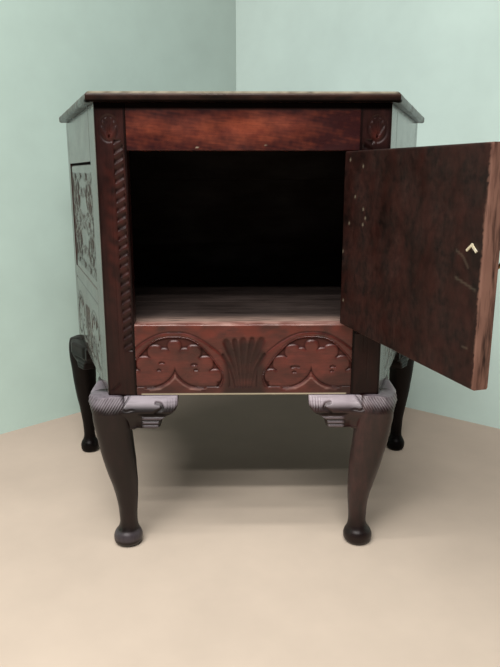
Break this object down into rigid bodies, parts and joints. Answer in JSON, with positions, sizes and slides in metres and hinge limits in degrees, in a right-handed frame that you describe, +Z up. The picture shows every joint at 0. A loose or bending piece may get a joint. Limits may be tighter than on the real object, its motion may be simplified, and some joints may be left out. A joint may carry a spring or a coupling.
{
  "type": "side cabinet",
  "caption": "Carved side cabinet of dark wood on cabriole legs, narrow at the front with canted sides and a wide back, with an inset door hinged on the right.",
  "frame": {"origin": "on the floor, at the middle of the ground that the cabinet covers with its door open as modelled", "axes": "+X to the right along the front, +Y from the front to the back, +Z up"},
  "size_m": [0.766, 0.7648, 0.739],
  "materials": {
    "case_wood": "old dark red-brown stain under a soft polish",
    "apron_wood": "old red-brown stain under a soft polish",
    "leg_wood": "very dark brown polish",
    "door_wood": "dark brown, dull on the inner face",
    "inside_wood": "bare aged wood",
    "brass": "worn satin",
    "iron": "dark, dull"
  },
  "bodies": {
    "case": {"top_board": "case_wood", "front_stile_left": "case_wood", "front_stile_right": "case_wood", "front_top_rail": "case_wood", "front_apron_rail": "apron_wood", "side_left_front_stile": "case_wood", "side_left_rear_stile": "case_wood", "side_left_top_rail": "case_wood", "side_left_middle_rail": "case_wood", "side_left_apron_rail": "apron_wood", "side_left_panel": "case_wood", "side_right_front_stile": "case_wood", "side_right_rear_stile": "case_wood", "side_right_top_rail": "case_wood", "side_right_middle_rail": "case_wood", "side_right_apron_rail": "apron_wood", "side_right_panel": "case_wood", "floor_ledge_left": "inside_wood", "floor_ledge_right": "inside_wood", "floor_ledge_front": "inside_wood", "floor_ledge_rear": "inside_wood", "top_block_left": "inside_wood", "top_block_right": "inside_wood", "top_block_front": "inside_wood", "top_block_rear": "inside_wood", "back_board_lower": "inside_wood", "back_board_middle": "inside_wood", "back_board_upper": "inside_wood", "floor_board_front": "inside_wood", "floor_board_rear": "inside_wood", "door_stop": "inside_wood", "leg_front_left": "leg_wood", "leg_front_right": "leg_wood", "leg_rear_left": "leg_wood", "leg_rear_right": "leg_wood", "ear_front_left": "leg_wood", "ear_front_right": "leg_wood", "ear_side_left_front": "leg_wood", "ear_side_left_rear": "leg_wood", "ear_side_right_front": "leg_wood", "ear_side_right_rear": "leg_wood", "hinge_lower_stile_leaf": "iron", "hinge_lower_pin": "iron", "hinge_upper_stile_leaf": "iron", "hinge_upper_pin": "iron"},
    "door": {"door_board": "door_wood", "hinge_lower_door_leaf": "iron", "hinge_upper_door_leaf": "iron", "handle_plate": "brass", "handle_split_pin": "brass"},
    "handle": {"handle_ring": "brass"}
  },
  "joints": [
    {"name": "door_swing", "type": "hinge", "parent": "case", "child": "door", "pos_m": [0.17325, -0.04364, 0.52], "axis": [0, 0, 1], "range_deg": [-106.2, 60]},
    {"name": "ring_swing", "type": "hinge", "parent": "door", "child": "handle", "pos_m": [0.2695, -0.35594, 0.5499], "axis": [0.279, -0.9603, 0], "range_deg": [-8, 95]}
  ]
}
